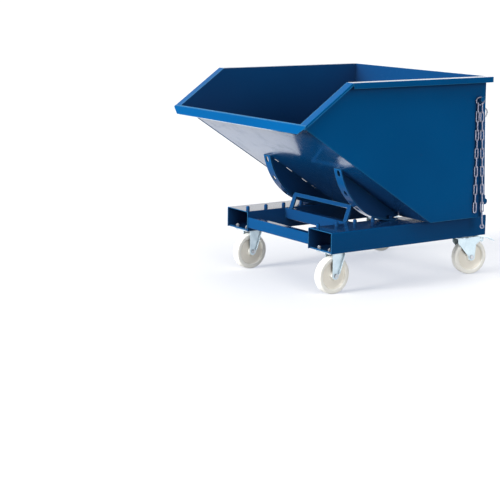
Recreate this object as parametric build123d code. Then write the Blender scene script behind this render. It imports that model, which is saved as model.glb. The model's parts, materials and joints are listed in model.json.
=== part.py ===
from build123d import *
import math
import os

# Roll-off tipping skip on four castors.
# Frame of reference: X across (the chain and the lever are on the +X side),
# Y along the rails (the tub tips towards -Y), Z up, castors on Z = 0.  Millimetres.

# ---- driving dimensions -------------------------------------------------------------
GAP = 0.3                  # clearance between neighbouring bodies
WELD = 0.2                 # joint line between welded pieces

RAIL_FRONT_Y = -457.0      # front ends of the two rails
RAIL_LEN = 1090.0
RAIL_W = 200.0
RAIL_H = 112.0
RAIL_T = 4.0
RAIL_X = 380.0             # rail centre line, either side
RAIL_BOTTOM = 235.0
RAIL_TOP = RAIL_BOTTOM + RAIL_H
RAIL_IN = RAIL_X - RAIL_W / 2

WHEEL_R = 100.0
WHEEL_W = 48.0
HUB_LEN = 58.0
AXLE_R = 6.0
FRONT_AXLE_Y = RAIL_FRONT_Y + 86.0
REAR_AXLE_Y = RAIL_FRONT_Y + 1058.0
TRAIL = 46.0
LEFT_SWIVEL = 13.0         # degrees, turn of the left rear castor
SWIVEL_Y = REAR_AXLE_Y - TRAIL
PLATE_L = 140.0            # castor top plate along Y
PLATE_W = 110.0            # castor top plate along X
PLATE_T = 6.0
LEG_IN = HUB_LEN / 2 + 1.2
LEG_T = 4.0
BOLT_DY = 52.5             # castor bolt pattern 105 x 90
BOLT_DX = 45.0

TUB_X = 555.0              # outer face of the side panels
SHEET = 4.0
BACK_SHEET = 5.0           # heavier back panel, keeps the empty tub resting on its heel
REAR_TOP = (516.0, 1125.0)
LEVEL_END = (-442.0, 1125.0)
LIP = (-730.0, 927.0)
HEEL = (153.0, 357.0)
REAR_FOOT = (527.0, 357.0)

RIM_OUT = 50.0             # side rim overhang
RIM_BACK = 10.0            # rear rim overhang
RIM_DROP = 30.0
SLANT_DROP = 13.0          # the slanted rims only turn down this far, and end in a bead
BEAD_R = 2.6
LIP_BAND = 49.0
LIP_ANGLE = 70.0           # lip band below horizontal

RUN_R = 382.0              # radius of the rolling face
RUN_Y = 70.0               # arc centre, also the resting line on the rails
RUN_Z = RAIL_TOP + GAP + RUN_R
RUN_T = 8.0
RUN_X0 = 290.0
RUN_X1 = 350.0
RUN_BACK = -4.5            # arc limits from straight down, forward positive
RUN_FRONT = 78.0
WEB_T = 5.0
STITCH_GAPS = [(139, 187), (229, 272), (354, 405), (467, 502)]   # along the slope, from the heel

STUD_X = 323.0
STUD_R = 10.5
STUD_H = 24.0
STUD_PITCH = 124.0
STUD_COUNT = 5
STUD_FIRST_Y = RAIL_FRONT_Y + 31.0
SLOT_W = 24.0
SLOT_L = 36.0

SHAFT_Y = RAIL_FRONT_Y + 1048.0
SHAFT_Z = 430.0
SHAFT_R = 9.0
ROD_X = 495.0
ROD_R = 8.0
ROD_TOP = 891.0             # measured along the rod, before it leans
ROD_LEAN = 2.8             # degrees towards the tub
RING_EYE_R = 25.5
CATCH_X = 310.0

PEG_Y = 461.0
PEG_Z = 1005.0
PEG_R = 6.0
CHAIN_X = 572.0
WIRE = 3.2
LINK_LEN = 62.8
LINK_W = 21.0
LINK_PITCH = 49.5
LINKS = 12
BROAD_TURN = 55.0          # the chain hangs with its broad links turned out from the wall

os.makedirs("parts", exist_ok=True)


# ---- small helpers ------------------------------------------------------------------
def save(name, solids):
    shapes = solids if isinstance(solids, list) else [solids]
    flat = []
    for s in shapes:
        flat.extend(s.solids())
    shape = flat[0] if len(flat) == 1 else Compound(children=flat)
    shape.label = name
    export_step(shape, f"parts/{name}.step")


def box(x0, x1, y0, y1, z0, z1):
    return Pos((x0 + x1) / 2, (y0 + y1) / 2, (z0 + z1) / 2) * Box(x1 - x0, y1 - y0, z1 - z0)


def slab(points, x0, x1):
    """Plate with outline points (y, z), between two X positions."""
    outline = Plane.YZ * Polygon(*points, align=None)
    return Pos(x0, 0, 0) * extrude(outline, x1 - x0, dir=(1, 0, 0))


def rod_x(r, x0, x1, y, z):
    return Pos((x0 + x1) / 2, y, z) * Rot(0, 90, 0) * Cylinder(r, x1 - x0)


def rod_z(r, z0, z1, x, y):
    return Pos(x, y, (z0 + z1) / 2) * Cylinder(r, z1 - z0)


def unit(p, q):
    d = math.hypot(q[0] - p[0], q[1] - p[1])
    return ((q[0] - p[0]) / d, (q[1] - p[1]) / d)


def along(p, d, s):
    return (p[0] + d[0] * s, p[1] + d[1] * s)


def meet(p, d, q, e):
    """Crossing point of the line through p along d and the line through q along e."""
    det = d[0] * -e[1] + d[1] * e[0]
    s = ((q[0] - p[0]) * -e[1] + (q[1] - p[1]) * e[0]) / det
    return along(p, d, s)


def mirrored(shape):
    return mirror(shape, about=Plane.YZ)


def both_sides(shape):
    return [shape, mirrored(shape)]


def swivelled(shape):
    """The left rear castor stands turned a little about its kingpin."""
    return Pos(RAIL_X, SWIVEL_Y, 0) * Rot(0, 0, -LEFT_SWIVEL) * Pos(-RAIL_X, -SWIVEL_Y, 0) * shape


def save_swivel_pair(stem, shape):
    save(f"{stem}_left", swivelled(shape))
    save(f"{stem}_right", mirrored(shape))


def save_pair(stem, shape):
    """Left is the +X side."""
    save(f"{stem}_left", shape)
    save(f"{stem}_right", mirrored(shape))


# ---- tub directions -----------------------------------------------------------------
SLOPE = unit(HEEL, LIP)                     # up the slope, towards the lip
SLOPE_IN = (SLOPE[1], -SLOPE[0])             # into the tub
EDGE = unit(LEVEL_END, LIP)                 # down the slanted top edge
EDGE_IN = (EDGE[1], -EDGE[0])
if EDGE_IN[1] > 0:
    EDGE_IN = (-EDGE_IN[0], -EDGE_IN[1])
BACK = unit(REAR_FOOT, REAR_TOP)
BACK_IN = (-BACK[1], BACK[0])
LIP_DIR = (-math.cos(math.radians(LIP_ANGLE)), -math.sin(math.radians(LIP_ANGLE)))
LIP_OUT = (LIP_DIR[1], -LIP_DIR[0])
PANEL_X = TUB_X - SHEET - WELD


# ---- chassis ------------------------------------------------------------------------
def side_rail():
    y1 = RAIL_FRONT_Y + RAIL_LEN
    x0, x1 = RAIL_X - RAIL_W / 2, RAIL_X + RAIL_W / 2
    outer = box(x0, x1, RAIL_FRONT_Y, y1, RAIL_BOTTOM, RAIL_TOP)
    outer = fillet(outer.edges().filter_by(Axis.Y).group_by(Axis.Z)[-1], 7)
    inner = box(x0 + RAIL_T, x1 - RAIL_T, RAIL_FRONT_Y - 1, y1 + 1, RAIL_BOTTOM - 1, RAIL_TOP - RAIL_T)
    inner = fillet(inner.edges().filter_by(Axis.Y).group_by(Axis.Z)[-1], 3)
    return outer - inner


def tube_across(half, y0, y1, z0, z1, wall, radius):
    outer = box(-half, half, y0, y1, z0, z1)
    outer = fillet(outer.edges().filter_by(Axis.X), radius)
    inner = box(-half - 1, half + 1, y0 + wall, y1 - wall, z0 + wall, z1 - wall)
    return outer - fillet(inner.edges().filter_by(Axis.X), radius - wall + 1.0)


def guide_hoop():
    """Flat frame standing on the middle cross member, leaning back."""
    base_y, lean = RAIL_FRONT_Y + 276.0, 21.0
    half, leg, top, height, thick = 260.0, 30.0, 21.0, 95.0, 10.0
    frame = box(-half, half, 0, thick, 0, height)
    frame = fillet(frame.edges().filter_by(Axis.Y).group_by(Axis.Z)[-1], 14)
    window = box(-half + leg, half - leg, -1, thick + 1, -1, height - top)
    hoop = Pos(0, base_y - thick / 2, RAIL_TOP) * Rot(-lean, 0, 0) * (frame - window)
    return hoop - box(-half - 5, half + 5, base_y - 60, base_y + 60, RAIL_TOP - 40, RAIL_TOP + WELD)


def mounting_plates():
    plates = []
    half = RAIL_W / 2 - RAIL_T - WELD
    for sx in (1, -1):
        for cy in (FRONT_AXLE_Y, SWIVEL_Y):
            plate = box(sx * RAIL_X - half, sx * RAIL_X + half, cy - 76, cy + 76,
                        RAIL_BOTTOM + WELD, RAIL_BOTTOM + 8)
            for bx, by in bolt_spots(sx * RAIL_X, cy):
                plate -= rod_z(5.3, RAIL_BOTTOM - 1, RAIL_BOTTOM + 9, bx, by)
            if cy == SWIVEL_Y:
                plate -= rod_z(15, RAIL_BOTTOM - 1, RAIL_BOTTOM + 9, sx * RAIL_X, cy)
            plates.append(plate)
    return plates


def bolt_spots(cx, cy):
    return [(cx + i * BOLT_DX, cy + j * BOLT_DY) for i in (1, -1) for j in (1, -1)]


def castor_bolts():
    bolts, nuts = [], []
    under = RAIL_BOTTOM - PLATE_T
    for sx in (1, -1):
        for cy in (FRONT_AXLE_Y, SWIVEL_Y):
            for bx, by in bolt_spots(sx * RAIL_X, cy):
                head = Pos(bx, by, under - WELD - 3.2) * extrude(RegularPolygon(9.2, 6), 6.4, both=False)
                head = Pos(0, 0, -3.2) * head
                shank = rod_z(5.0, under - WELD - 0.5, RAIL_BOTTOM + 21, bx, by)
                bolts.append(head + shank)
                nut = Pos(bx, by, RAIL_BOTTOM + 8 + WELD) * extrude(RegularPolygon(9.2, 6), 8.4)
                nuts.append(nut - rod_z(5.1, RAIL_BOTTOM, RAIL_BOTTOM + 30, bx, by))
    return bolts, nuts


def roll_studs():
    studs = []
    for sx in (1, -1):
        for i in range(STUD_COUNT):
            y = STUD_FIRST_Y + i * STUD_PITCH
            stud = rod_z(STUD_R, RAIL_TOP + WELD, RAIL_TOP + STUD_H, sx * STUD_X, y)
            stud = fillet(stud.edges().group_by(Axis.Z)[-1], 7)
            studs.append(stud)
    return studs


# ---- castors ------------------------------------------------------------------------
def wheel(cx, cy):
    """Solid plastic wheel with a dished web, about its own axle."""
    half, hub = WHEEL_W / 2, HUB_LEN / 2
    profile = [(10.1, -hub), (24, -hub), (29, -13), (74, -11), (80, -half), (94, -half), (100, -half + 6),
               (100, half - 6), (94, half), (80, half), (74, 11), (29, 13), (24, hub), (10.1, hub)]
    face = Plane.XZ * Polygon(*profile, align=None)
    body = revolve(face, Axis.Z)
    return Pos(cx, cy, WHEEL_R) * Rot(0, 90, 0) * body


def spacer(cx, cy):
    return rod_x(10.0, cx - LEG_IN + 0.2, cx + LEG_IN - 0.2, cy, WHEEL_R) - rod_x(
        AXLE_R + 0.1, cx - LEG_IN - 1, cx + LEG_IN + 1, cy, WHEEL_R)


def axle(cx, cy):
    """Hexagon bolt through fork and spacer, head on the outboard side."""
    end = LEG_IN + LEG_T + WELD
    head = Pos(cx + end, cy, WHEEL_R) * Rot(0, 90, 0) * extrude(RegularPolygon(11, 6), 8)
    return head + rod_x(AXLE_R, cx - end - 12, cx + end + 1, cy, WHEEL_R)


def axle_nut(cx, cy):
    end = LEG_IN + LEG_T + WELD
    nut = Pos(cx - end - 9, cy, WHEEL_R) * Rot(0, 90, 0) * extrude(RegularPolygon(11, 6), 9)
    return nut - rod_x(AXLE_R + 0.1, cx - 60, cx + 60, cy, WHEEL_R)


def riveted_axle(cx, cy):
    """Axle with a formed head at both ends."""
    end = LEG_IN + LEG_T + WELD
    heads = [rod_x(11, cx + s * (end + 2.5) - 2.5, cx + s * (end + 2.5) + 2.5, cy, WHEEL_R) for s in (1, -1)]
    return rod_x(AXLE_R, cx - end - 1, cx + end + 1, cy, WHEEL_R) + heads[0] + heads[1]


def fork_leg(cx, outline, cy, x_in):
    leg = slab(outline, cx + x_in, cx + x_in + LEG_T)
    leg += rod_x(20, cx + x_in, cx + x_in + LEG_T, cy, WHEEL_R)
    return leg - rod_x(AXLE_R + 0.1, cx + x_in - 1, cx + x_in + LEG_T + 1, cy, WHEEL_R)


def top_plate(cx, cy):
    plate = box(cx - PLATE_W / 2, cx + PLATE_W / 2, cy - PLATE_L / 2, cy + PLATE_L / 2,
                RAIL_BOTTOM - PLATE_T, RAIL_BOTTOM)
    plate = fillet(plate.edges().filter_by(Axis.Z), 10)
    for bx, by in bolt_spots(cx, cy):
        plate -= rod_z(5.3, RAIL_BOTTOM - 10, RAIL_BOTTOM + 1, bx, by)
    return plate


def fixed_fork(cx, cy):
    z_top = RAIL_BOTTOM - PLATE_T
    outline = [(cy - 22, z_top), (cy + 57, z_top), (cy + 52, 204), (cy + 19.5, 104), (cy - 20, 104)]
    flange = [(cy + 54.5, 216), (cy + 51.5, 203), (cy + 20.5, 108), (cy + 16.5, 109), (cy + 47.5, 204),
              (cy + 50.5, 216)]
    fork = top_plate(cx, cy)
    for side in (1, -1):
        x_in = LEG_IN if side > 0 else -LEG_IN - LEG_T
        x_flange = LEG_IN + 1 if side > 0 else -LEG_IN - LEG_T - 9
        fork += fork_leg(cx, outline, cy, x_in)
        fork += slab(flange, cx + x_flange, cx + x_flange + LEG_T + 8)
    return fork


CROWN_Z0, CROWN_Z1 = 206.0, 212.0
PEDAL_Y, PEDAL_Z = REAR_AXLE_Y + 52.0, 208.0
PIN_R = 4.0
KING_R = 8.0


def swivel_fork(cx):
    s, a = SWIVEL_Y, REAR_AXLE_Y
    outline = [(s - 44, CROWN_Z1), (PEDAL_Y + 9, CROWN_Z1 + 5), (PEDAL_Y + 9, CROWN_Z0 - 8), (a + 26, 172),
               (a + 19.5, 105), (a - 19.5, 105), (s - 42, 182)]
    fork = box(cx - LEG_IN - LEG_T, cx + LEG_IN + LEG_T, s - 44, s + 40, CROWN_Z0, CROWN_Z1)
    fork += rod_z(41, CROWN_Z0, CROWN_Z1, cx, s)
    fork += rod_z(33, CROWN_Z1, RAIL_BOTTOM - PLATE_T - 9, cx, s)
    for x_in in (LEG_IN, -LEG_IN - LEG_T):
        leg = fork_leg(cx, outline, a, x_in)
        fork += leg - rod_x(PIN_R + 0.1, cx - 60, cx + 60, PEDAL_Y, PEDAL_Z)
    return fork - rod_z(KING_R + 0.08, CROWN_Z0 - 20, RAIL_BOTTOM, cx, s)


def ball_race(cx):
    """Sealed race between fork crown and top plate, turning with the fork."""
    z1 = RAIL_BOTTOM - PLATE_T - GAP
    z0 = RAIL_BOTTOM - PLATE_T - 9 + WELD
    ring = rod_z(36, z0, z1, cx, SWIVEL_Y) - rod_z(KING_R + 0.08, z0 - 1, z1 + 1, cx, SWIVEL_Y)
    return ring


def kingpin(cx):
    head = rod_z(14, CROWN_Z0 - 7, CROWN_Z0 - GAP, cx, SWIVEL_Y)
    shank = rod_z(KING_R, CROWN_Z0 - 1, RAIL_BOTTOM + 2, cx, SWIVEL_Y)
    cap = rod_z(13, RAIL_BOTTOM + WELD, RAIL_BOTTOM + 6, cx, SWIVEL_Y)
    return head + shank + cap


def swivel_plate(cx):
    return top_plate(cx, SWIVEL_Y) - rod_z(KING_R + 0.08, RAIL_BOTTOM - 10, RAIL_BOTTOM + 1, cx, SWIVEL_Y)


def pedal_pin(cx):
    end = LEG_IN + LEG_T + 2.5
    return rod_x(PIN_R, cx - end, cx + end, PEDAL_Y, PEDAL_Z)


PEDAL_TIP_Y = 749.1


def brake_pedal(cx):
    """Foot plate, pivot barrel and brake shoe above the tread."""
    half = LEG_IN - 2.0
    barrel = rod_x(8.5, cx - half, cx + half, PEDAL_Y, PEDAL_Z)
    plate = slab([(PEDAL_Y, PEDAL_Z + 3), (PEDAL_Y + 2, PEDAL_Z + 8.3),
                  (PEDAL_TIP_Y - 18, PEDAL_Z - 8), (PEDAL_TIP_Y, PEDAL_Z - 22),
                  (PEDAL_TIP_Y - 3, PEDAL_Z - 25), (PEDAL_TIP_Y - 20, PEDAL_Z - 12.5)],
                 cx - half, cx + half)
    shoe = slab([(PEDAL_Y + 2, PEDAL_Z - 5), (PEDAL_Y + 8, PEDAL_Z - 17), (PEDAL_Y + 20, PEDAL_Z - 27),
                 (PEDAL_Y + 30, PEDAL_Z - 22), (PEDAL_Y + 30, PEDAL_Z + 2)], cx - 18, cx + 18)
    pedal = barrel + plate + shoe
    return pedal - rod_x(PIN_R + 0.08, cx - 60, cx + 60, PEDAL_Y, PEDAL_Z)


# ---- release lever ------------------------------------------------------------------
BLOCK_X = (235.0, 395.0)
REAR_TUBE_Y0 = RAIL_FRONT_Y + 994.0
REAR_TUBE_Y1 = REAR_TUBE_Y0 + 62.0
REAR_TUBE_Z1 = RAIL_TOP + WELD + 60.0


def bearing_blocks():
    blocks = []
    for x in BLOCK_X:
        b = box(x - 15, x + 15, SHAFT_Y - 26, SHAFT_Y + 12, REAR_TUBE_Z1 + WELD, SHAFT_Z + 20)
        b = fillet(b.edges().filter_by(Axis.X).group_by(Axis.Z)[-1], 9)
        blocks.append(b - rod_x(SHAFT_R + 0.1, x - 20, x + 20, SHAFT_Y, SHAFT_Z))
    return blocks


def leaning(shape):
    """Everything on the upright rod leans towards the tub, about the cross shaft."""
    return Pos(0, SHAFT_Y, SHAFT_Z) * Rot(ROD_LEAN, 0, 0) * Pos(0, -SHAFT_Y, -SHAFT_Z) * shape


def lever_shaft():
    """Cross shaft with the welded socket for the upright rod."""
    shaft = chamfer(rod_x(SHAFT_R, 205, ROD_X + 16, SHAFT_Y, SHAFT_Z).edges(), 1.0)
    sleeve = rod_x(17, ROD_X - 14, ROD_X + 14, SHAFT_Y, SHAFT_Z)
    sleeve += leaning(rod_z(12, SHAFT_Z, SHAFT_Z + 34, ROD_X, SHAFT_Y))
    return (shaft + sleeve) - leaning(rod_z(ROD_R + 0.1, SHAFT_Z + 10, SHAFT_Z + 60, ROD_X, SHAFT_Y))


def lever_rod():
    return leaning(chamfer(rod_z(ROD_R, SHAFT_Z + 10 + WELD, ROD_TOP, ROD_X, SHAFT_Y).edges(), 1.0))


def ring_eye():
    ring = Pos(ROD_X, SHAFT_Y, ROD_TOP + RING_EYE_R + 4.9) * Rot(0, 90, 0) * Torus(RING_EYE_R, 4.5)
    neck = rod_z(6, ROD_TOP + WELD, ROD_TOP + 5, ROD_X, SHAFT_Y)
    return leaning(ring + neck)


def rod_clip():
    """Small block on the front of the rod with a pull ring above it."""
    block = box(ROD_X - 9, ROD_X + 9, SHAFT_Y - 26, SHAFT_Y - ROD_R + 3, 812, 848)
    block = fillet(block.edges().filter_by(Axis.Z), 3)
    block -= rod_z(ROD_R + WELD, 800, 860, ROD_X, SHAFT_Y)
    ring = Pos(ROD_X, SHAFT_Y - 22, 848 + 11) * Rot(0, 90, 0) * Torus(10, 2.2)
    return leaning(block + ring)


def catch_hook():
    y, z = SHAFT_Y, SHAFT_Z
    arm = slab([(y - 15, z + 10), (y - 15, z + 26), (y - 34, z + 34), (y - 35, z + 17), (y - 29, z + 17),
                (y - 22, z + 6)], CATCH_X - 10, CATCH_X + 10)
    arm += slab([(y - 17, z - 2), (y + 4, z - 14), (y + 8, z + 12), (y - 13, z + 27), (y - 25, z + 10)],
                CATCH_X - 10, CATCH_X + 10)
    arm += rod_x(17, CATCH_X - 14, CATCH_X + 14, y, z)
    return arm - rod_x(SHAFT_R + 0.1, CATCH_X - 20, CATCH_X + 20, y, z)


def keeper():
    """Striker block on the back panel below the catch nose."""
    z0, z1 = SHAFT_Z - 22, SHAFT_Z + 11
    face0 = meet(REAR_FOOT, BACK, (0, z0), (1, 0))
    face1 = meet(REAR_FOOT, BACK, (0, z1), (1, 0))
    return slab([(face0[0] + WELD, z0), (SHAFT_Y - 38, z0 + 8), (SHAFT_Y - 38, z1), (face1[0] + WELD, z1)],
                CATCH_X - 20, CATCH_X + 20)


# ---- tub ----------------------------------------------------------------------------
def side_panel():
    return slab([REAR_TOP, LEVEL_END, LIP, HEEL, REAR_FOOT], TUB_X - SHEET, TUB_X)


def slope_panel():
    inner = along(HEEL, SLOPE_IN, SHEET)
    top = meet(inner, SLOPE, LIP, EDGE)
    crease = meet(inner, SLOPE, (0, HEEL[1] + SHEET), (1, 0))
    return slab([HEEL, LIP, top, crease], -PANEL_X, PANEL_X)


def floor_panel():
    inner = along(HEEL, SLOPE_IN, SHEET)
    crease = meet(inner, SLOPE, (0, HEEL[1] + SHEET), (1, 0))
    back_face = along(REAR_FOOT, BACK_IN, BACK_SHEET + WELD)
    back_foot = meet(back_face, BACK, (0, HEEL[1]), (1, 0))
    back_top = meet(back_face, BACK, (0, HEEL[1] + SHEET), (1, 0))
    start = (HEEL[0] + WELD, HEEL[1])
    start_top = (crease[0] + WELD, crease[1])
    return slab([start, back_foot, back_top, start_top], -PANEL_X, PANEL_X)


def back_panel():
    inner_face = along(REAR_FOOT, BACK_IN, BACK_SHEET)
    inner_foot = meet(inner_face, BACK, (0, REAR_FOOT[1]), (1, 0))
    inner_top = meet(inner_face, BACK, (0, REAR_TOP[1]), (1, 0))
    return slab([REAR_FOOT, REAR_TOP, inner_top, inner_foot], -PANEL_X, PANEL_X)


def angle_rim(line_top, line_flange, line_drop, x_out):
    """Rim angle: flange outline and drop outline as (y, z) polygons."""
    flange = slab(line_flange, TUB_X + WELD, x_out)
    drop = slab(line_drop, x_out - SHEET, x_out)
    rim = flange + drop
    outer = [e for e in rim.edges() if on_top_outer(e, line_top, x_out)]
    return fillet(outer, 3.0) if outer else rim


def on_top_outer(edge, line_top, x_out):
    mid = edge.center()
    (y0, z0), (y1, z1) = line_top
    d = unit(line_top[0], line_top[1])
    off = (mid.Y - y0) * -d[1] + (mid.Z - z0) * d[0]
    return abs(mid.X - x_out) < 0.01 and abs(off) < 0.01 and edge.length > 50


def bend_inner(depth):
    """Point below the level/slanted corner at a given depth under both top lines."""
    return meet((0, LEVEL_END[1] - depth), (1, 0), along(LEVEL_END, EDGE_IN, depth), EDGE)


def rim_level():
    y1 = REAR_TOP[0] - WELD
    top = [(y1, REAR_TOP[1]), LEVEL_END]
    flange = [(y1, REAR_TOP[1]), LEVEL_END, bend_inner(SHEET), (y1, REAR_TOP[1] - SHEET)]
    drop = [(y1, REAR_TOP[1]), LEVEL_END, bend_inner(RIM_DROP), (y1, REAR_TOP[1] - RIM_DROP)]
    return angle_rim(top, flange, drop, TUB_X + RIM_OUT)


def rim_slant():
    start = along(LEVEL_END, EDGE, WELD)
    end = along(LIP, EDGE, -0.3)
    lip_back = along(LIP, LIP_OUT, -WELD)

    def strip(depth):
        inner0 = along(bend_inner(depth), EDGE, WELD)
        foot = meet(along(LIP, EDGE_IN, depth), EDGE, lip_back, LIP_DIR)
        return [start, end, foot, inner0]

    x_out = TUB_X + RIM_OUT - 1.5
    rim = angle_rim([start, end], strip(SHEET), strip(SLANT_DROP), x_out)
    b0 = along(bend_inner(SLANT_DROP), EDGE, WELD + 2)
    b1 = along(along(LIP, EDGE_IN, SLANT_DROP), EDGE, -7.0)
    bead_x = TUB_X + RIM_OUT - BEAD_R
    axis = Plane(origin=(bead_x, b0[0], b0[1]), z_dir=(0, EDGE[0], EDGE[1]))
    length = math.hypot(b1[0] - b0[0], b1[1] - b0[1])
    return rim + axis * extrude(Circle(BEAD_R), length)


def rim_rear():
    """Rear rim with rounded corners, reaching out to both side rims."""
    y0, y1 = REAR_TOP[0] + WELD, REAR_TOP[0] + RIM_BACK
    half = TUB_X + RIM_OUT
    z = REAR_TOP[1]
    outer = box(-half, half, y0, y1, z - RIM_DROP, z)
    outer = fillet(outer.edges().filter_by(Axis.Z).group_by(Axis.Y)[-1], RIM_BACK - 2)
    inner = box(-half + SHEET, half - SHEET, y0 - 10, y1 - SHEET, z - RIM_DROP - 1, z - SHEET)
    inner = fillet(inner.edges().filter_by(Axis.Z).group_by(Axis.Y)[-1], RIM_BACK - 2 - SHEET)
    rim = outer - inner
    top_edges = rim.edges().group_by(Axis.Z)[-1]
    return fillet(top_edges.filter_by(lambda e: e.center().Y > y0 + 0.1), 3.0)


def lip_band():
    """Front band turned down at the lip, with cut lower corners and a short return."""
    half, low = TUB_X + RIM_OUT, TUB_X + 2
    corners = [(-half, 0), (half, 0), (half, -SLANT_DROP),
               (low, -LIP_BAND), (-low, -LIP_BAND), (-half, -SLANT_DROP)]
    plate = extrude(Polygon(*corners, align=None), SHEET, dir=(0, 0, 1))
    plate = fillet(plate.edges().filter_by(Axis.Z).group_by(Axis.Y)[0], 8)
    fold = box(-TUB_X + 10, TUB_X - 10, -LIP_BAND, -LIP_BAND + 3.5, -11, 0.5)
    plate += fold
    # local axes: X across, -Y down the band, Z out of the front face
    place = Plane(origin=(0, LIP[0], LIP[1]), x_dir=(1, 0, 0), z_dir=(0, LIP_OUT[0], LIP_OUT[1]))
    plate = place * plate
    above = along(LIP, EDGE, 0)
    trim = slab([above, along(above, EDGE, 30), along(along(above, EDGE, 30), EDGE_IN, -30),
                 along(above, EDGE_IN, -30)], -700, 700)
    return plate - trim


def arc_point(radius, angle):
    a = math.radians(angle)
    return (RUN_Y - radius * math.sin(a), RUN_Z - radius * math.cos(a))


def arc_face(r_in, r_out, a0, a1, x0, x1):
    with BuildPart() as p:
        with BuildSketch(Plane.YZ.offset(x0)):
            with BuildLine():
                a = arc_point(r_out, a0)
                m = arc_point(r_out, (a0 + a1) / 2)
                b = arc_point(r_out, a1)
                c = arc_point(r_in, a1)
                n = arc_point(r_in, (a0 + a1) / 2)
                d = arc_point(r_in, a0)
                ThreePointArc(a, m, b)
                Line(b, c)
                ThreePointArc(c, n, d)
                Line(d, a)
            make_face()
        extrude(amount=x1 - x0)
    return p.part


def above_slope():
    """Everything above the underside of the slope panel."""
    low = along(HEEL, SLOPE_IN, -WELD)
    p0 = along(low, SLOPE, -400)
    p1 = along(low, SLOPE, 1400)
    return slab([p0, p1, along(p1, SLOPE_IN, 500), along(p0, SLOPE_IN, 500)], 200, 450)


def stud_angles():
    """Turn of the tub at which each stud enters its slot."""
    stations = [STUD_FIRST_Y + i * STUD_PITCH for i in range(STUD_COUNT)]
    return [math.degrees((RUN_Y - y) / (RUN_R + GAP)) for y in stations]


def runner_strip():
    strip = arc_face(RUN_R - RUN_T, RUN_R, RUN_BACK, RUN_FRONT, RUN_X0, RUN_X1) - above_slope()
    slot = extrude(SlotOverall(SLOT_L, SLOT_W), 15, both=True)
    for angle in stud_angles():
        y, z = arc_point(RUN_R - RUN_T / 2, angle)
        strip -= Pos(STUD_X, y, z) * Rot(-angle, 0, 0) * Rot(0, 0, 90) * slot
    return strip


def runner_web(gaps):
    """Web from the rolling face up to the slope panel, with open gaps between stitch welds."""
    r = RUN_R - RUN_T - WELD
    web = arc_face(40, r, RUN_BACK, RUN_FRONT, RUN_X0, RUN_X0 + WEB_T)
    rear = arc_point(RUN_R, RUN_BACK)
    heel = along(HEEL, SLOPE, 4)
    web += slab([arc_point(r, RUN_BACK - 0.15), (rear[0] + 0.8, rear[1] + 1.2), (heel[0], heel[1] - 2.4),
                 heel, arc_point(330, RUN_BACK + 0.5)], RUN_X0, RUN_X0 + WEB_T)
    web -= above_slope()
    for s0, s1 in gaps:
        p = along(along(HEEL, SLOPE_IN, -WELD - 2), SLOPE, s0)
        q = along(p, SLOPE, s1 - s0)
        web -= slab([p, q, along(q, SLOPE_IN, 20), along(p, SLOPE_IN, 20)], 200, 450)
    return web


def chain_peg():
    peg = rod_x(PEG_R, TUB_X + WELD, CHAIN_X + 19, PEG_Y, PEG_Z)
    return peg + rod_x(PEG_R + 6, CHAIN_X + 16, CHAIN_X + 20, PEG_Y, PEG_Z)


def roll_plugs():
    """Thin discs flush in both side panels at the arc centre."""
    return [rod_x(7.0, s * (TUB_X - SHEET / 2) - SHEET / 2, s * (TUB_X - SHEET / 2) + SHEET / 2, RUN_Y, RUN_Z)
            for s in (1, -1)]


def plug_holes(panel):
    return panel - rod_x(7.1, TUB_X - SHEET - 1, TUB_X + 1, RUN_Y, RUN_Z)


# ---- chain --------------------------------------------------------------------------
def oval(length, width, wire):
    """Closed oval of round wire in the local XZ plane, long axis Z."""
    r = width / 2 - wire
    s = (length - width) / 2
    with BuildPart() as p:
        with BuildLine(Plane.XZ) as path:
            Line((r, -s), (r, s))
            ThreePointArc((r, s), (0, s + r), (-r, s))
            Line((-r, s), (-r, -s))
            ThreePointArc((-r, -s), (0, -s - r), (r, -s))
        with BuildSketch(Plane(origin=(r, 0, 0), z_dir=(0, 0, 1))):
            Circle(wire)
        sweep(path=path.line)
    return p.part


RING_MAJOR = 20.0
RING_WIRE = 3.2
STRAND_OFF = 10.8          # each strand from the middle of the ring, along the ring


def ring_centre():
    return (PEG_Y, PEG_Z + PEG_R - (RING_MAJOR - RING_WIRE) + 0.6)


def upright_ring(major, wire):
    """Round ring standing in the plane of the broad links."""
    return Rot(0, 0, BROAD_TURN - 90) * Rot(0, 90, 0) * Torus(major, wire)


def strand(link, side, y_run):
    """Interlocked links, every second one turned a quarter; returns where the last one is."""
    cy, cz = ring_centre()
    turn = math.radians(BROAD_TURN)
    x = CHAIN_X + side * STRAND_OFF * math.cos(turn)
    y_top = cy + side * STRAND_OFF * math.sin(turn)
    inside = RING_MAJOR - RING_WIRE - WIRE - 0.4
    lean = math.atan2(y_run, LINK_PITCH * (LINKS - 1))
    half = LINK_LEN / 2 - WIRE
    y_top += math.sin(lean) * half
    z0 = cz - math.sqrt(inside ** 2 - STRAND_OFF ** 2) - math.cos(lean) * half
    links = []
    for i in range(LINKS):
        y = y_top + math.sin(lean) * LINK_PITCH * i
        z = z0 - math.cos(lean) * LINK_PITCH * i
        angle = BROAD_TURN if i % 2 else BROAD_TURN - 90
        links.append(Pos(x, y, z) * Rot(math.degrees(lean), 0, 0) * Rot(0, 0, angle) * link)
    return links, lean, (x, y, z)


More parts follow.
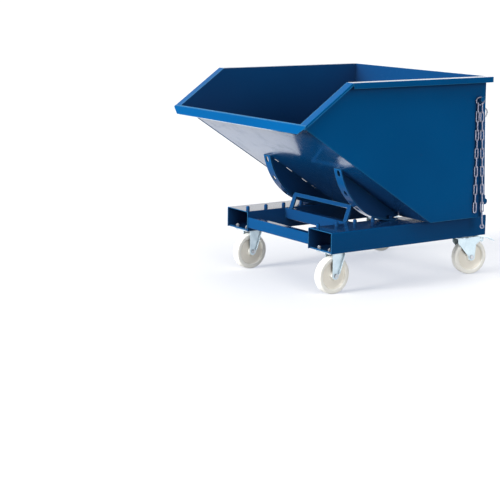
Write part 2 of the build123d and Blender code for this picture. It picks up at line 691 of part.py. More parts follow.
def chain():
    """Ring on the peg, a short strand and a longer one that ends in a hook and an eye."""
    link = oval(LINK_LEN, LINK_W, WIRE)
    cy, cz = ring_centre()
    ring = Pos(CHAIN_X, cy, cz) * upright_ring(RING_MAJOR, RING_WIRE)
    tail, _, _ = strand(link, -1, 9.0)
    main, lean, (x, y, z) = strand(link, 1, 32.0)
    hook_len, hook_wire, eye_r, eye_wire = 90.0, 3.2, 9.5, 3.0
    reach = LINK_LEN / 2 - 2 * WIRE + hook_len / 2 - 2 * hook_wire - 0.4
    hy, hz = y + math.sin(lean) * reach, z - math.cos(lean) * reach
    hook = Pos(x, hy, hz) * Rot(math.degrees(lean), 0, 0) * Rot(0, 0, BROAD_TURN - 90) * oval(
        hook_len, 22.0, hook_wire)
    eye_reach = hook_len / 2 - 2 * hook_wire - 0.4 + eye_r - eye_wire
    ey, ez = hy + math.sin(lean) * eye_reach, hz - math.cos(lean) * eye_reach
    return [ring] + tail + main, [hook, Pos(x, ey, ez) * upright_ring(eye_r, eye_wire)]


# ---- build everything ---------------------------------------------------------------
save_pair("side_rail", side_rail())
cross_half = RAIL_IN - WELD
save("front_cross_member", tube_across(cross_half, RAIL_FRONT_Y + 5, RAIL_FRONT_Y + 45, 254, 314, 3, 4))
save("middle_cross_member", tube_across(cross_half, RAIL_FRONT_Y + 262, RAIL_FRONT_Y + 302, RAIL_TOP - 60,
                                        RAIL_TOP, 3, 4))
save("rear_cross_tube", tube_across(430, REAR_TUBE_Y0, REAR_TUBE_Y1, RAIL_TOP + WELD, REAR_TUBE_Z1, 3, 5))
save("guide_hoop", guide_hoop())
save("castor_mounting_plates", mounting_plates())
bolts, nuts = castor_bolts()
save("castor_bolts", bolts)
save("castor_nuts", nuts)
save("roll_studs", roll_studs())
save("lever_bearing_blocks", bearing_blocks())

save_pair("front_fork", fixed_fork(RAIL_X, FRONT_AXLE_Y))
save_pair("front_wheel", wheel(RAIL_X, FRONT_AXLE_Y))
save("front_axles", both_sides(axle(RAIL_X, FRONT_AXLE_Y)))
save("front_axle_nuts", both_sides(axle_nut(RAIL_X, FRONT_AXLE_Y)))
save("front_spacers", both_sides(spacer(RAIL_X, FRONT_AXLE_Y)))

save("rear_top_plates", both_sides(swivel_plate(RAIL_X)))
save("rear_kingpins", both_sides(kingpin(RAIL_X)))
save_swivel_pair("rear_fork", swivel_fork(RAIL_X))
save_swivel_pair("rear_ball_race", ball_race(RAIL_X))
save_swivel_pair("rear_wheel", wheel(RAIL_X, REAR_AXLE_Y))
save_swivel_pair("rear_axle", riveted_axle(RAIL_X, REAR_AXLE_Y))
save_swivel_pair("rear_spacer", spacer(RAIL_X, REAR_AXLE_Y))
save_swivel_pair("brake_pedal", brake_pedal(RAIL_X))
save_swivel_pair("brake_pin", pedal_pin(RAIL_X))

save_pair("side_panel", plug_holes(side_panel()))
save("slope_panel", slope_panel())
save("floor_panel", floor_panel())
save("back_panel", back_panel())
save_pair("rim_level", rim_level())
save_pair("rim_slant", rim_slant())
save("rim_rear", rim_rear())
save("lip_band", lip_band())
save("runner_web_left", runner_web([]))
save("runner_web_right", mirrored(runner_web(STITCH_GAPS)))
save_pair("runner_strip", runner_strip())
save("keeper", keeper())
save("chain_peg", chain_peg())
save("roll_plugs", roll_plugs())

save("lever_shaft", lever_shaft())
save("lever_rod", lever_rod())
save("lever_ring_eye", ring_eye())
save("lever_clip", rod_clip())
save("catch_hook", catch_hook())

links, hook = chain()
save("chain_links", links)
save("chain_end_hook", hook)
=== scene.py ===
# %% [markdown]
# # A tipping skip on castors
# A steel skip like this is a tub of folded sheet that rests on two curved runners.
# Pull the lever at the back and the tub rolls forward along its frame and empties itself.
# The engineering shapes come in from the frame file, already in metres and in place.
# This lesson adds what a paint shop and a welder would add: enamel, zinc, plastic and beads.

# %% Load the frame
import json
import math

import bmesh
import bpy
from mathutils import Matrix, Vector


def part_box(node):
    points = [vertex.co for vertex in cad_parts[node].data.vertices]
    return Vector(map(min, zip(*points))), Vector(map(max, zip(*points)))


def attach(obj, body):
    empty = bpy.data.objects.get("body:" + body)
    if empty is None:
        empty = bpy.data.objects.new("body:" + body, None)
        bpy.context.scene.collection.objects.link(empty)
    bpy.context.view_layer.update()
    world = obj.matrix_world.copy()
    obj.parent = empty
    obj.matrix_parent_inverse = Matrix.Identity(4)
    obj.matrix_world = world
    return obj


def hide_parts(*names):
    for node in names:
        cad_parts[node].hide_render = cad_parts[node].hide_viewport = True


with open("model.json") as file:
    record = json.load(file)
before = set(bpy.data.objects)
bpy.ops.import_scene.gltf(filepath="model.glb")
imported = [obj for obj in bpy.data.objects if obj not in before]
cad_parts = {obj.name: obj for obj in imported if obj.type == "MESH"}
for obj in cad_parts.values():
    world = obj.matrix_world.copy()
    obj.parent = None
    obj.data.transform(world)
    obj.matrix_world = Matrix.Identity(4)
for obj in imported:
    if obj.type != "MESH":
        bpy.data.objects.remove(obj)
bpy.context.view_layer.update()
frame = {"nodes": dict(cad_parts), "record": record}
nodes = frame["nodes"]
joint_of = {joint["child"]: joint for joint in frame["record"]["behaviour"]["joints"]}
print("pieces from the frame:", len(nodes))

# %% [markdown]
# ## The outline of the tub
# Seen from the side, the tub has five corners: the lip at the front, the heel where the
# slope meets the floor, the foot below the back, the top of the back, and the front end of
# the level rim. The paint and the welds both need to know where the sheets are, so the first
# four of them come first. The side panel's own box gives most of their measures, and what it
# can't give is stated in metres.
# The tub rolls about the centre of its runners' arc, which its joint in the record gives.

# %% Corners of the side panel, as (y, z)
side_low, side_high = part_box("side_panel_left")
HEEL = (0.153, side_low.z)
LIP = (side_low.y, 0.927)
FOOT = (side_high.y, side_low.z)
TOP = (0.516, side_high.z)
HALF_SHEET, HALF_BACK = 0.002, 0.0025
PANEL_X = side_high.x - HALF_SHEET
ROLL_Y, ROLL_Z = joint_of["tub"]["pos_m"][1:]
SLOPE_LENGTH = math.dist(HEEL, LIP)
SLOPE_NORMAL = ((LIP[1] - HEEL[1]) / SLOPE_LENGTH, (HEEL[0] - LIP[0]) / SLOPE_LENGTH)
BACK_LEAN = (FOOT[0] - TOP[0]) / (TOP[1] - FOOT[1])
print("the slope is", round(SLOPE_LENGTH, 3), "m long and the roll centre is", ROLL_Z, "m up")

# %% [markdown]
# ## Writing shader maths as Python
# A material in Blender is a graph of nodes, and a graph drawn by hand is hard to read back.
# So one small class wraps a node's output and gives it +, -, *, > and abs().
# Writing 1 - mask then adds the Math node for us. The reflected forms (such as __rsub__)
# are what lets the plain number stand on the left.

# %% A socket that takes Python operators
class Value:
    def __init__(self, graph, socket):
        self.graph, self.socket = graph, socket

    def maths(self, operation, first, second):
        return self.graph.add("Math", {"operation": operation}, {0: first, 1: second})

    def __add__(self, other):
        return self.maths("ADD", self, other)

    def __radd__(self, other):
        return self.maths("ADD", other, self)

    def __sub__(self, other):
        return self.maths("SUBTRACT", self, other)

    def __rsub__(self, other):
        return self.maths("SUBTRACT", other, self)

    def __mul__(self, other):
        return self.maths("MULTIPLY", self, other)

    def __rmul__(self, other):
        return self.maths("MULTIPLY", other, self)

    def __gt__(self, other):
        return self.maths("GREATER_THAN", self, other)

    def __abs__(self):
        return self.maths("ABSOLUTE", self, 0.0)


# %% [markdown]
# ## One method for every other node
# Anything that isn't arithmetic (a noise, a ramp, a bump) is made by the same method.
# It takes the node's type, its settings, and what goes into its sockets.
# Settings come first, because some of them change which sockets the node has.

# %% A graph of nodes
class Graph:
    def __init__(self, tree):
        self.tree = tree
        self.tree.nodes.clear()

    def add(self, kind, settings=None, inputs=None, out=0):
        node = self.tree.nodes.new("ShaderNode" + kind)
        for key, setting in (settings or {}).items():
            if key == "stops":
                self.set_stops(node.color_ramp.elements, setting)
            else:
                setattr(node, key, setting)
        for key, given in (inputs or {}).items():
            if isinstance(given, Value):
                self.tree.links.new(given.socket, node.inputs[key])
            else:
                node.inputs[key].default_value = given
        return Value(self, node.outputs[out]) if node.outputs else None

    def set_stops(self, elements, stops):
        while len(elements) < len(stops):
            elements.new(1.0)
        for element, (position, shade) in zip(elements, stops):
            element.position = position
            element.color = (shade, shade, shade, 1.0)

    def ray(self, kind):
        """1 while a ray of this kind asks for the colour, and 0 otherwise."""
        return self.add("LightPath", out=f"Is {kind} Ray")


# %% [markdown]
# A finish is the graph of one material, with the recipes that every paint or plating needs:
# noise for uneven tone, a ramp, a blend of two colours, rounded edges and fine relief.

# %% A finish and its recipes
class Finish(Graph):
    def __init__(self, name):
        self.material = bpy.data.materials.new(name)
        self.material.use_nodes = True
        super().__init__(self.material.node_tree)
        self.place = self.add("TexCoord", out="Object")

    def noise(self, scale, detail=3.0, roughness=0.5):
        sockets = {"Vector": self.place, "Scale": scale, "Detail": detail, "Roughness": roughness}
        return self.add("TexNoise", None, sockets, out="Fac")

    def steps(self, value, *stops):
        return self.add("ValToRGB", {"stops": stops}, {0: value})

    def blend(self, factor, one, other):
        """The Mix node keeps its colour inputs at places 6 and 7, and its colour output at 2."""
        return self.add("Mix", {"data_type": "RGBA"}, {0: factor, 6: one, 7: other}, out=2)

    def sheltered(self, distance):
        """0 deep in a corner, rising towards 1 in the open."""
        return self.add("AmbientOcclusion", {"samples": 8}, {"Distance": distance}, out="AO")

    def soft_edge(self, radius):
        return self.add("Bevel", {"samples": 6}, {"Radius": radius}, out="Normal")

    def edge_mask(self, radius):
        """0 on flat faces, rising towards 1 along sharp edges."""
        rounded = self.soft_edge(radius)
        flat = self.add("NewGeometry", out="Normal")
        facing = self.add("VectorMath", {"operation": "DOT_PRODUCT"}, {0: rounded, 1: flat}, out="Value")
        return self.steps(1 - facing, (0.02, 0.0), (0.2, 1.0))

    def bump(self, height, strength, distance, over=None):
        sockets = {"Height": height, "Strength": strength, "Distance": distance}
        if over is not None:
            sockets["Normal"] = over
        return self.add("Bump", None, sockets, out="Normal")

    def surface(self, **sockets):
        named = {key.replace("_", " "): given for key, given in sockets.items()}
        shader = self.add("BsdfPrincipled", None, named, out="BSDF")
        self.add("OutputMaterial", None, {"Surface": shader})
        return self.material


# %% [markdown]
# ## Blue enamel
# The whole skip is dipped and sprayed in one glossy blue. Real enamel is never a perfect
# mirror: it has a fine orange-peel ripple, and large panels drift slightly in tone. Seen
# square on it is a deep flat blue, and seen at a low angle it turns into a mirror, so the
# clear coat follows a Layer Weight ramp. Noise at four sizes drives tone, roughness and
# bump, and a bevel in the shader rounds the edges of the sheet, so that they catch the
# light. Along those edges a lighter blue is painted on as a painted highlight. Down between
# the rails and in other corners the enamel is painted darker as painted shade, which an
# Ambient Occlusion node can find by itself. The inside of the tub gets more painted shade
# still, and three planes and a height are enough to say where the inside is. The small
# plugs at the middle of the rolling arc lie flush, so their edge gets no painted highlight.

# %% Blue enamel
BLUE = (0.0, 0.086, 0.265, 1.0)
BLUE_DEEP = (0.0, 0.076, 0.238, 1.0)
BLUE_PAINTED_HIGHLIGHT = (0.040, 0.260, 0.460, 1.0)
BLUE_PAINTED_SHADE = (0.014, 0.012, 0.036, 1.0)
PLUG_REACH = 0.020
INSIDE_PAINTED_SHADE = 0.38


def inside_tub(x, y, z):
    """1 on the inner faces of the tub and 0 everywhere else."""
    above_floor = z > side_low.z + HALF_SHEET
    over_slope = SLOPE_NORMAL[0] * (y - HEEL[0]) + SLOPE_NORMAL[1] * (z - HEEL[1]) > HALF_SHEET
    before_back = FOOT[0] - HALF_BACK - BACK_LEAN * (z - FOOT[1]) - y > 0.0
    between_sides = PANEL_X - abs(x) > 0.0
    return above_floor * over_slope * before_back * between_sides


def away_from_plugs(y, z):
    """0 on the flush plugs at the roll centre and 1 everywhere else."""
    across, up = y - ROLL_Y, z - ROLL_Z
    return across * across + up * up > PLUG_REACH ** 2


def blue_enamel():
    f = Finish("blue_enamel")
    drift = f.noise(1.7, 2.0)
    peel = f.noise(160.0, 2.0)
    wave = f.noise(4.5, 1.0)
    handled = f.steps(f.noise(9.0, 5.0, 0.65), (0.50, 0.0), (0.72, 1.0))
    x, y, z = (f.add("SeparateXYZ", None, {0: f.place}, out=axis) for axis in "XYZ")
    tone = f.blend(f.steps(drift, (0.35, 0.0), (0.65, 1.0)), BLUE, BLUE_DEEP)
    # Painted highlight: a lighter blue along the sheet's edges, left off the flush plugs.
    tone = f.blend(f.edge_mask(0.0060) * 0.60 * away_from_plugs(y, z), tone, BLUE_PAINTED_HIGHLIGHT)
    # Painted shade: the enamel is painted darker where ambient occlusion finds corners and the gap between
    # the rails.
    open_air = f.steps(f.sheltered(0.7), (0.25, 0.42), (0.6, 0.62), (0.88, 1.0))
    tone = f.blend(open_air, BLUE_PAINTED_SHADE, tone)
    # Painted shade: the inner faces of the tub are painted darker still.
    tone = f.blend(INSIDE_PAINTED_SHADE * inside_tub(x, y, z), tone, BLUE_PAINTED_SHADE)
    ripple = f.bump(peel, 0.05, 0.0004, f.soft_edge(0.0014))
    flow = f.bump(wave, 0.10, 0.0030, ripple)
    glancing = f.add("LayerWeight", None, {"Blend": 0.5, "Normal": flow}, out="Facing")
    shine = f.steps(glancing, (0.50, 0.0), (0.62, 0.14), (0.74, 0.65), (0.84, 1.0))
    return f.surface(
        Base_Color=tone,
        Roughness=0.20 + 0.10 * handled,
        Normal=flow,
        IOR=1.5,
        Specular_IOR_Level=0.02,
        Coat_Weight=shine * (1 - 0.2 * handled),
        Coat_Roughness=0.08,
        Coat_IOR=1.7,
    )


ENAMEL = blue_enamel()
print("made", ENAMEL.name, "with", len(ENAMEL.node_tree.nodes), "nodes")

# %% [markdown]
# ## Bright zinc
# Castor forks and fasteners are zinc plated. Zinc on pressed steel shows a cool grey with
# soft cloudy patches, slightly blue where the passivation is thick. A cell pattern breaks
# the reflection into faint crystals, which is how the eye tells plating from paint. Along
# the edges a lighter zinc is painted on as a painted highlight, and in corners and under
# the frame the zinc is painted darker as painted shade. The thin chain has the darkest zinc.

# %% Zinc plating
ZINC_PAINTED_SHADE = (0.03, 0.03, 0.05, 1.0)
ZINC_PAINTED_HIGHLIGHT = (0.86, 0.90, 0.92, 1.0)


def zinc(name, light, dark, cloud_scale, roughness, metallic=0.9, shelter=0.03):
    f = Finish(name)
    clouds = f.steps(f.noise(cloud_scale, 4.0, 0.6), (0.32, 0.0), (0.68, 1.0))
    grain = f.noise(420.0, 2.0)
    crystals = f.add("TexVoronoi", None, {"Vector": f.place, "Scale": cloud_scale * 6.0}, out="Distance")
    tone = f.blend(clouds, light, dark)
    # Painted highlight: a lighter zinc along the edges.
    tone = f.blend(f.edge_mask(0.0016) * 0.4, tone, ZINC_PAINTED_HIGHLIGHT)
    # Painted shade: the zinc is painted darker in corners and under the frame.
    tone = f.blend(f.steps(f.sheltered(shelter), (0.25, 0.2), (0.85, 1.0)), ZINC_PAINTED_SHADE, tone)
    relief = f.bump(grain, 0.08, 0.0003, f.soft_edge(0.0010))
    return f.surface(
        Base_Color=tone,
        Metallic=metallic,
        Roughness=roughness + 0.12 * clouds + 0.08 * crystals,
        Normal=relief,
    )


ZINC_FORK = zinc("zinc_fork", (0.60, 0.70, 0.74, 1.0), (0.46, 0.56, 0.61, 1.0), 26.0, 0.30)
ZINC_BOLT = zinc("zinc_bolt", (0.60, 0.62, 0.64, 1.0), (0.40, 0.42, 0.44, 1.0), 60.0, 0.30, 0.8, 0.12)
ZINC_CHAIN = zinc("zinc_chain", (0.33, 0.34, 0.42, 1.0), (0.17, 0.18, 0.25, 1.0), 70.0, 0.34, 0.85)
STEEL = zinc("turned_steel", (0.52, 0.53, 0.55, 1.0), (0.36, 0.37, 0.39, 1.0), 90.0, 0.28, 1.0)
print("made", [m.name for m in (ZINC_FORK, ZINC_BOLT, ZINC_CHAIN, STEEL)])

# %% [markdown]
# ## Ivory plastic
# The wheels are moulded in one piece from a hard natural plastic. It is creamy white and a
# little cloudy, and everything but the disc carries fine scuffs. The recessed disc is warmer
# and darker than the tread, partly as its own tone and partly as painted shade of the recess.
# That colour follows a mark that is stored on the wheel's own mesh, so it stays with the
# wheel wherever it rolls.

# %% Ivory wheel plastic
IVORY_TREAD = (0.96, 0.95, 0.90, 1.0)
IVORY_DISC = (0.90, 0.86, 0.77, 1.0)
IVORY_CLOUD = (0.88, 0.85, 0.77, 1.0)
IVORY_SCUFF = (0.70, 0.68, 0.62, 1.0)


def ivory_plastic():
    f = Finish("ivory_plastic")
    dish = f.add("Attribute", {"attribute_name": "dish"}, out="Fac")
    cloudy = f.noise(18.0, 3.0)
    scuffs = f.steps(f.noise(130.0, 6.0, 0.7), (0.58, 0.0), (0.74, 1.0))
    # The disc is painted warmer and darker than the tread, partly its own tone and partly painted shade of
    # the recess.
    tone = f.blend(dish, IVORY_TREAD, IVORY_DISC)
    tone = f.blend(0.25 * cloudy, tone, IVORY_CLOUD)
    tone = f.blend(0.25 * scuffs * (1 - dish), tone, IVORY_SCUFF)
    relief = f.bump(f.noise(300.0, 3.0), 0.10, 0.0004)
    return f.surface(Base_Color=tone, Roughness=0.42 + 0.15 * scuffs, Normal=relief, IOR=1.5)


IVORY = ivory_plastic()
print("made", IVORY.name)

# %% [markdown]
# ## Painting the frame's pieces
# Every piece that came in with the frame keeps its shape and gets one of these finishes.
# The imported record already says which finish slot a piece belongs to, so a table from slot
# to material paints all of them in one loop.

# %% Paint by slot
PAINT = {
    "blue_paint": ENAMEL,
    "zinc_forks": ZINC_FORK,
    "zinc_fasteners": ZINC_BOLT,
    "zinc_chain": ZINC_CHAIN,
    "bright_steel": STEEL,
    "white_polyamide": IVORY,
}
slot_of = {part["node"]: part["material_slot"] for part in frame["record"]["subparts"]}
for name, piece in nodes.items():
    piece.data.materials.clear()
    piece.data.materials.append(PAINT[slot_of[name]])
print("painted", len(nodes), "pieces")

# %% [markdown]
# ## From a bmesh to a piece
# A bmesh is Blender's editable mesh. Each new piece starts in one, is shaped by operators,
# and is then written into an object. One helper does that last step: it fixes the direction
# of the faces, shades them smooth up to an angle, paints the piece and lets it ride on the
# body that it is bolted or welded to.

# %% Finish a new piece
SMOOTH_BELOW = math.radians(40.0)


def to_object(name, shape, material):
    mesh = bpy.data.meshes.new(name)
    shape.to_mesh(mesh)
    shape.free()
    mesh.materials.append(material)
    made = bpy.data.objects.new(name, mesh)
    bpy.context.scene.collection.objects.link(made)
    return made


def to_piece(name, shape, body, slot, replaced=()):
    bmesh.ops.remove_doubles(shape, verts=shape.verts, dist=1e-6)
    bmesh.ops.recalc_face_normals(shape, faces=shape.faces)
    for face in shape.faces:
        face.smooth = True
    for edge in shape.edges:
        edge.smooth = len(edge.link_faces) == 2 and edge.calc_face_angle(0.0) < SMOOTH_BELOW
    piece = to_object(name, shape, PAINT[slot])
    if replaced:
        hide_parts(*replaced)
    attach(piece, body)
    print(name, "has", len(piece.data.polygons), "faces and rides on", body)


# %% [markdown]
# ## Castor wheels
# A moulded wheel is a shape of revolution: a rounded tread, a rim, a wide dished disc and a
# hub. Its section above the axle is drawn as a loop of vertices, the left half mirrored from
# the right, and one spin about the axle makes the wheel. Corners are rounded with a bevel
# before the spin, because rounding ten corners of a loop is far cheaper than rounding the
# rings that they would become. The frame's joints give the axis of each wheel, because one
# rear castor stands swivelled a little.

# %% Turn a wheel
WHEEL_RADIUS, WHEEL_HALF, HUB_HALF, BORE = 0.100, 0.024, 0.029, 0.0101
# From the bore out to the tread: distance from the axle, distance from the middle, rounding.
OUTER_HALF = [
    (BORE, HUB_HALF, 0.0),
    (0.0225, HUB_HALF, 0.002),
    (0.0250, 0.0150, 0.004),
    (0.0700, 0.0120, 0.005),
    (0.0780, WHEEL_HALF, 0.003),
    (WHEEL_RADIUS, WHEEL_HALF, 0.008),
]
DISC_FROM, DISC_TO, DISC_HALF = 0.026, 0.0735, 0.020
X_AXIS = Vector((1, 0, 0))


def ring_of_section():
    section = [(radius, -across, rounding) for radius, across, rounding in OUTER_HALF] + OUTER_HALF[::-1]
    shape = bmesh.new()
    corners = [shape.verts.new((across, 0, radius)) for radius, across, _ in section]
    for one, other in zip(corners, corners[1:] + corners[:1]):
        shape.edges.new((one, other))
    for corner, (_, _, rounding) in zip(corners, section):
        if rounding:
            bmesh.ops.bevel(shape, geom=[corner], offset=rounding, offset_type="OFFSET", segments=5,
                            profile=0.5, affect="VERTICES", material=-1)
    return shape


def wheel(name, body):
    low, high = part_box(name)
    centre = (low + high) / 2
    swivel = X_AXIS.rotation_difference(Vector(joint_of[body]["axis"])).to_matrix()
    shape = ring_of_section()
    bmesh.ops.spin(shape, geom=shape.verts[:] + shape.edges[:], cent=(0, 0, 0), axis=X_AXIS,
                   angle=math.tau, steps=96, use_merge=True)
    dish = shape.verts.layers.float.new("dish")
    for vert in shape.verts:
        radius = math.hypot(vert.co.y, vert.co.z)
        vert[dish] = 1.0 if DISC_FROM < radius < DISC_TO and abs(vert.co.x) < DISC_HALF else 0.0
    bmesh.ops.rotate(shape, verts=shape.verts, cent=(0, 0, 0), matrix=swivel)
    bmesh.ops.translate(shape, verts=shape.verts, vec=centre)
    to_piece("moulded_" + name, shape, body, "white_polyamide", [name])


for side in ("left", "right"):
    wheel("front_wheel_" + side, "front_roller_" + side)
    wheel("rear_wheel_" + side, "rear_roller_" + side)

# %% [markdown]
# ## Weld beads
# Sheet steel tubs are welded along their seams, and a bead is a small caterpillar of
# overlapping puddles. A circle is extruded along the seam in short steps, two to a puddle,
# and each ring is made a little larger or smaller in turn, which gives the scales. The bead
# sits half inside the corner, so that only its rounded back shows.

# %% A bead along a path
PUDDLE, SWELL = 0.0055, 1.12


def resample(points):
    """Evenly spaced points along a line with bends, half a puddle apart."""
    spots = []
    for start, end in zip(points, points[1:]):
        count = max(1, round((end - start).length / PUDDLE * 2))
        spots += [start.lerp(end, step / count) for step in range(count)]
    return spots + [points[-1]]


def bead_into(shape, points, radius):
    spots = resample(points)
    heading = spots[1] - spots[0]
    turn = heading.to_track_quat("Z", "Y").to_matrix().to_4x4()
    ring = bmesh.ops.create_circle(shape, segments=8, radius=radius, cap_ends=False,
                                   matrix=Matrix.Translation(spots[0]) @ turn)["verts"]
    edges = list({edge for vert in ring for edge in vert.link_edges})
    bmesh.ops.contextual_create(shape, geom=edges)
    for step in range(1, len(spots)):
        grown = bmesh.ops.extrude_edge_only(shape, edges=edges)["geom"]
        ring = [item for item in grown if isinstance(item, bmesh.types.BMVert)]
        edges = [item for item in grown if isinstance(item, bmesh.types.BMEdge)
                 and all(vert in ring for vert in item.verts)]
        move = spots[step] - spots[step - 1]
        bmesh.ops.translate(shape, verts=ring, vec=move)
        bend = heading.rotation_difference(move).to_matrix()
        bmesh.ops.rotate(shape, verts=ring, cent=spots[step], matrix=bend)
        heading = move
        scale = SWELL if step % 2 else 1 / SWELL
        bmesh.ops.scale(shape, verts=ring, vec=(scale,) * 3, space=Matrix.Translation(-spots[step]))
    bmesh.ops.contextual_create(shape, geom=edges)


# %% [markdown]
# Every weld on the left side has a twin on the right, so seams are written once, for the
# left, and mirrored. All beads of one group become one piece.

# %% Beads of one group
def both_sides(seams):
    return [[(flip * x, y, z) for x, y, z in seam] for flip in (1, -1) for seam in seams]


def beads(name, body, left_seams, radius):
    shape = bmesh.new()
    for seam in both_sides(left_seams):
        bead_into(shape, [Vector(point) for point in seam], radius)
    to_piece(name, shape, body, "blue_paint")


# %% [markdown]
# ## Where the tub is welded
# Three seams run inside the edge of the side panel: along the slope, along the floor and up
# the back. They stop a little short of each corner of the outline.

# %% Seams of the tub
SEAM_X = PANEL_X - 0.0035
STOP_SHORT, UNDER_RIM = 0.010, 0.050


def between(start, end, share):
    return tuple(a + (b - a) * share for a, b in zip(start, end))


beads("tub_seam_beads", "tub", [
    [(SEAM_X, *between(HEEL, LIP, 0.012)), (SEAM_X, *between(HEEL, LIP, 0.985))],
    [(SEAM_X, HEEL[0] + STOP_SHORT, HEEL[1]), (SEAM_X, FOOT[0] - STOP_SHORT, FOOT[1])],
    [(SEAM_X, FOOT[0], FOOT[1] + STOP_SHORT), (SEAM_X, TOP[0], TOP[1] - UNDER_RIM)],
], 0.0022)

# %% [markdown]
# ## Where the runners are welded
# Each runner is a web that stands on the underside of the slope, with the rolling face
# wrapped round it. The web carries short stitches along the slope, and a bead follows the
# arc where web and rolling face meet. The stitches are placed by their distance from the
# heel, and the arc by its centre and radius.

# %% Seams of the runners
WEB_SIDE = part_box("runner_web_left")[1].x + 0.0010
BELOW_SLOPE = 0.0006
ARC_RADIUS = 0.3730
ARC_DEGREES = range(-4, 75, 2)
STITCHES = [(0.030, 0.136), (0.190, 0.226), (0.275, 0.351), (0.408, 0.464), (0.505, 0.522)]


def on_slope(distance):
    y, z = between(HEEL, LIP, distance / SLOPE_LENGTH)
    return (WEB_SIDE, y - SLOPE_NORMAL[0] * BELOW_SLOPE, z - SLOPE_NORMAL[1] * BELOW_SLOPE)


def on_arc(degrees):
    turn = math.radians(degrees)
    return (WEB_SIDE, ROLL_Y - ARC_RADIUS * math.sin(turn), ROLL_Z - ARC_RADIUS * math.cos(turn))


stitches = [[on_slope(start), on_slope(end)] for start, end in STITCHES]
beads("runner_beads", "tub", stitches + [[on_arc(degrees) for degrees in ARC_DEGREES]], 0.0020)

# %% [markdown]
# ## Where the chassis is welded
# The cross members butt against the rails and are welded all the way round. The rear tube
# lies on top of the rails and the hoop stands on the middle member, and a bead runs along
# both faces of each foot.

# %% Seams of the chassis
rail_low, rail_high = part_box("side_rail_left")
AT_RAIL = rail_low.x - 0.0012
ON_RAIL = rail_high.z + 0.0004
CORNER = 0.004


def round_the_end(name):
    """Four straight beads round the end of a cross member."""
    low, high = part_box(name)
    flat_z, flat_y = (low.z + CORNER, high.z - CORNER), (low.y + CORNER, high.y - CORNER)
    upright = [[(AT_RAIL, y, z) for z in flat_z] for y in (low.y, high.y)]
    level = [[(AT_RAIL, y, z) for y in flat_y] for z in (low.z, high.z)]
    return upright + level


def along_the_foot(inner, outer, faces):
    """A straight bead along each face of a foot, on the level of the rail's top."""
    return [[(inner, y, ON_RAIL), (outer, y, ON_RAIL)] for y in faces]


tube_low, tube_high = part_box("rear_cross_tube")
tube_faces = (tube_low.y + 0.0035, tube_high.y - 0.0035)
tube_feet = along_the_foot(rail_low.x + 0.010, tube_high.x - CORNER, tube_faces)
hoop_low, hoop_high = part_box("guide_hoop")
hoop_faces = (hoop_low.y - 0.0006, hoop_low.y + 0.0112)
hoop_feet = along_the_foot(hoop_high.x - 0.028, hoop_high.x - 0.002, hoop_faces)
members = round_the_end("front_cross_member") + round_the_end("middle_cross_member")
beads("chassis_beads", "frame", members + tube_feet + hoop_feet, 0.0022)

# %% [markdown]
# ## Floor, light and camera
# The object stands on a pale floor that seems to have no end. The floor's own colour is a
# mid grey, so that it throws little light back up under the tub, and a boost makes it white
# to the camera and in reflections. Shadows then stay soft and pale. Light Path tells the
# material which kind of ray is asking. The glow is a little blue, which shows only in shadow.

# %% The floor
FLOOR_TONE, FLOOR_GLOW = (0.58, 0.555, 0.50, 1.0), (0.43, 0.465, 0.55, 1.0)
FLOOR_BLACK = (0.0, 0.0, 0.0, 1.0)
MIRRORED_BOOST, BOUNCE_LOSS, FLOOR_HALF = 1.5, 0.65, 150.0


def floor_finish():
    f = Finish("studio_floor")
    seen = f.ray("Camera") + MIRRORED_BOOST * f.ray("Glossy") + f.ray("Transmission")
    bounce = 1 - BOUNCE_LOSS * f.ray("Diffuse")
    matt = f.add("BsdfDiffuse", None, {"Color": f.blend(bounce, FLOOR_BLACK, FLOOR_TONE)})
    glow = f.add("Emission", None, {"Color": FLOOR_GLOW, "Strength": seen})
    matt_and_glow = f.add("AddShader", None, {0: matt, 1: glow})
    f.add("OutputMaterial", None, {"Surface": matt_and_glow})
    return f.material


plane = bmesh.new()
bmesh.ops.create_grid(plane, x_segments=1, y_segments=1, size=FLOOR_HALF)
to_object("studio_floor", plane, floor_finish())
print("floor is", 2 * FLOOR_HALF, "m wide")

# %% [markdown]
# Four suns stand in for softboxes. A sun with a wide angle gives soft shadows, and it lights
# the whole floor evenly, which a lamp near the object can't do. The key comes from the
# front, where the tub tips out, a low fill lights the near side, one hangs overhead, and a
# weak one at the rear keeps the back from going black.

# %% Suns
# Azimuth and elevation in degrees, strength, and the sun's own width in degrees.
SOFTBOXES = {
    "key_softbox": (-4.0, 15.0, 4.7, 24.0),
    "side_softbox": (80.0, 10.0, 1.55, 30.0),
    "top_softbox": (40.0, 72.0, 1.4, 60.0),
    "rear_softbox": (205.0, 28.0, 0.9, 60.0),
}


def sun(name, azimuth, elevation, strength, width):
    lamp = bpy.data.lights.new(name, "SUN")
    lamp.energy, lamp.angle = strength, math.radians(width)
    holder = bpy.data.objects.new(name, lamp)
    a, e = math.radians(azimuth), math.radians(elevation)
    towards = Vector((math.sin(a) * math.cos(e), -math.cos(a) * math.cos(e), math.sin(e)))
    holder.rotation_euler = towards.to_track_quat("Z", "Y").to_euler()
    bpy.context.scene.collection.objects.link(holder)


for name, setting in SOFTBOXES.items():
    sun(name, *setting)
print("suns:", ", ".join(SOFTBOXES))

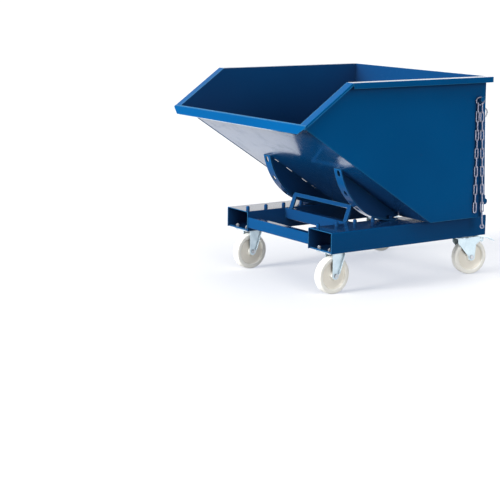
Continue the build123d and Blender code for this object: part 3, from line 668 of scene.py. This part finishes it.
# %% [markdown]
# The sky is a faint blue wash for the paint, but it looks plain white to the camera and in
# reflections, so that floor and background run into one another.

# %% Sky
SKY_TINT, SKY_STRENGTH, BACKDROP = (0.90, 0.95, 1.0, 1.0), 0.12, (1.0, 1.0, 1.0, 1.0)


def studio_sky():
    world = bpy.data.worlds.new("studio_sky")
    world.use_nodes = True
    sky = Graph(world.node_tree)
    direct = sky.ray("Camera") + sky.ray("Glossy")
    seen = sky.add("Math", {"operation": "ADD", "use_clamp": True}, {0: direct, 1: sky.ray("Transmission")})
    wash = sky.add("Background", None, {"Color": SKY_TINT, "Strength": SKY_STRENGTH})
    white = sky.add("Background", None, {"Color": BACKDROP, "Strength": 1.0})
    sky.add("OutputWorld", None, {"Surface": sky.add("MixShader", None, {0: seen, 1: wash, 2: white})})
    return world


bpy.context.scene.world = studio_sky()
print("sky strength", SKY_STRENGTH)

# %% [markdown]
# The camera is a long lens about eight metres away, a little above the rim. It is aimed
# beside and below the object rather than at its middle, so that the object stands in the
# upper right of the view.

# %% Camera
CAMERA_AT = Vector((6.06733, -4.86498, 1.67814))
YAW, PITCH, ROLL = (math.radians(d) for d in (55.1057, 11.3343, 0.7298))
LENS_MM, SENSOR_MM, FAR_CLIP = 101.22, 36.0, 400.0
lens = bpy.data.cameras.new("product_camera")
lens.sensor_width, lens.lens, lens.clip_end = SENSOR_MM, LENS_MM, FAR_CLIP
camera = bpy.data.objects.new("product_camera", lens)
forward = Vector((-math.sin(YAW) * math.cos(PITCH), math.cos(YAW) * math.cos(PITCH), -math.sin(PITCH)))
level = Vector((math.cos(YAW), math.sin(YAW), 0.0))
upright = level.cross(forward)
right = level * math.cos(ROLL) + upright * math.sin(ROLL)
above = right.cross(forward)
turn = Matrix((right, above, -forward)).transposed()
camera.matrix_world = Matrix.Translation(CAMERA_AT) @ turn.to_4x4()
bpy.context.scene.collection.objects.link(camera)
bpy.context.scene.camera = camera
bpy.context.scene.view_settings.view_transform = "Standard"
print("camera is", round(CAMERA_AT.length, 2), "m from the origin")
